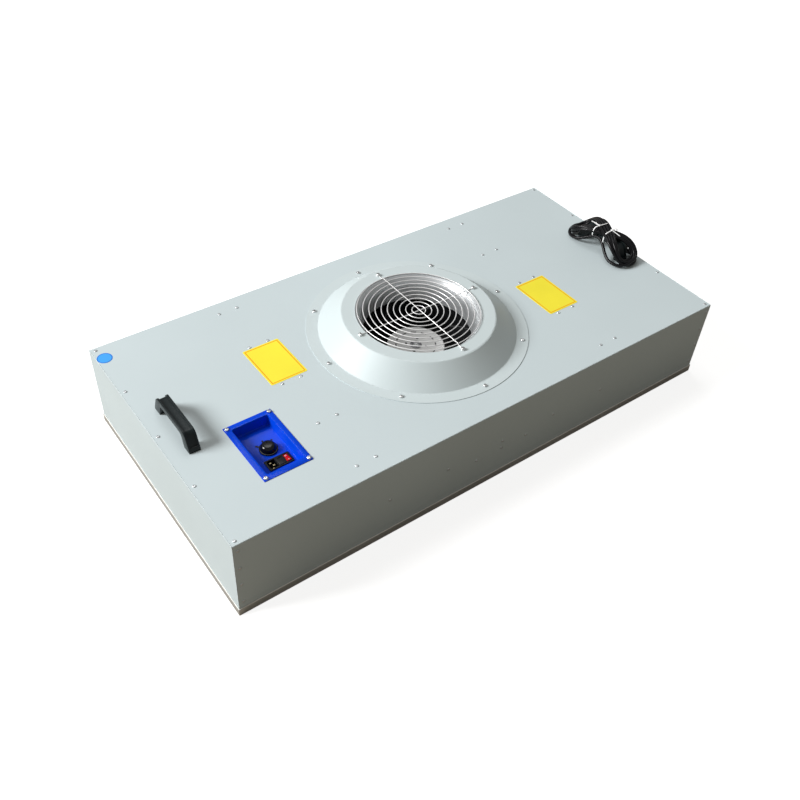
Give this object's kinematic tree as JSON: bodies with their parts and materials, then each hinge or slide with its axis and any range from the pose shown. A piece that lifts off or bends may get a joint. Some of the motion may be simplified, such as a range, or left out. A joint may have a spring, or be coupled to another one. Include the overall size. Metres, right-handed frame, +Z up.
{
  "type": "fan filter unit",
  "caption": "Box-shaped clean-room fan and filter unit with a guarded round inlet, a recessed control tray, carrying handles and a mains lead wound on one of them.",
  "frame": {"origin": "middle of the footprint, on the plane that the rim stands on", "axes": "+X along the length towards the wound mains lead, -X towards the control tray, +Y to the back, +Z up through the air inlet"},
  "size_m": [1.179, 0.579, 0.245],
  "materials": {
    "housing_paint": "satin",
    "rim_aluminium": "satin",
    "rivet_steel": "satin",
    "galvanised": "satin",
    "filter_aluminium": "satin",
    "filter_paper": "matte",
    "guard_white": "satin",
    "gasket_rubber": "matte",
    "screw_steel": "polished",
    "collar_paint": "satin",
    "nozzle_aluminium": "polished",
    "guard_chrome": "polished",
    "cast_aluminium": "satin",
    "core_steel": "satin",
    "copper": "gloss",
    "rotor_aluminium": "satin",
    "magnet_iron": "matte",
    "impeller_black": "satin",
    "tray_blue": "gloss",
    "board_green": "satin",
    "capacitor_grey": "satin",
    "pot_metal": "satin",
    "knob_black": "satin",
    "inlet_black": "satin",
    "pin_brass": "polished",
    "fuse_glass": "gloss",
    "rocker_red": "gloss",
    "lead_black": "matte",
    "gland_black": "matte",
    "handle_black": "satin",
    "label_yellow": "gloss",
    "sticker_blue": "gloss",
    "cord_black": "satin",
    "plug_black": "satin",
    "tie_white": "satin"
  },
  "bodies": {
    "unit": {"base_rim": "rim_aluminium", "clip_screws": "screw_steel", "collar_screws": "screw_steel", "control_board": "board_green", "control_tray": "tray_blue", "cord_connector": "plug_black", "cord_hank": "cord_black", "cord_ties": "tie_white", "electrical_box": "galvanised", "end_panel_left": "housing_paint", "end_panel_right": "housing_paint", "fan_deck": "galvanised", "filter_clips": "galvanised", "filter_frame": "filter_aluminium", "filter_gasket": "gasket_rubber", "filter_media": "filter_paper", "finger_guard": "guard_chrome", "guard_screws": "screw_steel", "handle_left": "handle_black", "handle_right": "handle_black", "handle_screws": "screw_steel", "housing_shell": "housing_paint", "inlet_collar": "collar_paint", "inlet_nozzle": "nozzle_aluminium", "inlet_pins": "pin_brass", "label_left": "label_yellow", "label_right": "label_yellow", "lead_gland": "gland_black", "mains_plug": "plug_black", "motor_base": "cast_aluminium", "motor_bearings": "screw_steel", "motor_bridge": "galvanised", "motor_core": "core_steel", "motor_lead": "lead_black", "motor_screws": "screw_steel", "motor_winding": "copper", "outlet_guard": "guard_white", "potentiometer": "pot_metal", "potentiometer_nut": "screw_steel", "power_inlet": "inlet_black", "round_sticker": "sticker_blue", "run_capacitor": "capacitor_grey", "seal_shelf": "galvanised", "side_rivets": "rivet_steel", "top_rib_left": "galvanised", "top_rib_right": "galvanised", "top_rivets": "rivet_steel", "tray_screws": "screw_steel"},
    "impeller": {"rotor_can": "rotor_aluminium", "magnet_ring": "magnet_iron", "motor_shaft": "screw_steel", "impeller_back_plate": "impeller_black", "impeller_rivets": "screw_steel", "impeller_shroud": "impeller_black", "impeller_blades": "impeller_black"},
    "knob": {"speed_knob": "knob_black", "knob_spindle": "screw_steel"},
    "fuse_drawer": {"fuse_drawer": "inlet_black", "fuse": "fuse_glass"},
    "rocker": {"rocker": "rocker_red"}
  },
  "joints": [
    {"name": "impeller_spin", "type": "hinge", "parent": "unit", "child": "impeller", "pos_m": [0, 0, 0.12], "axis": [0, 0, 1], "continuous": true},
    {"name": "knob_turn", "type": "hinge", "parent": "unit", "child": "knob", "pos_m": [-0.421, -0.115, 0.1682], "axis": [0, 0, 1], "range_deg": [-135, 135]},
    {"name": "rocker_tilt", "type": "hinge", "parent": "unit", "child": "rocker", "pos_m": [-0.404, -0.1515, 0.1672], "axis": [1, 0, 0], "range_deg": [0, 18]},
    {"name": "fuse_drawer_slide", "type": "slide", "parent": "unit", "child": "fuse_drawer", "axis": [0, 0, 1], "range_m": [0, 0.018]}
  ]
}
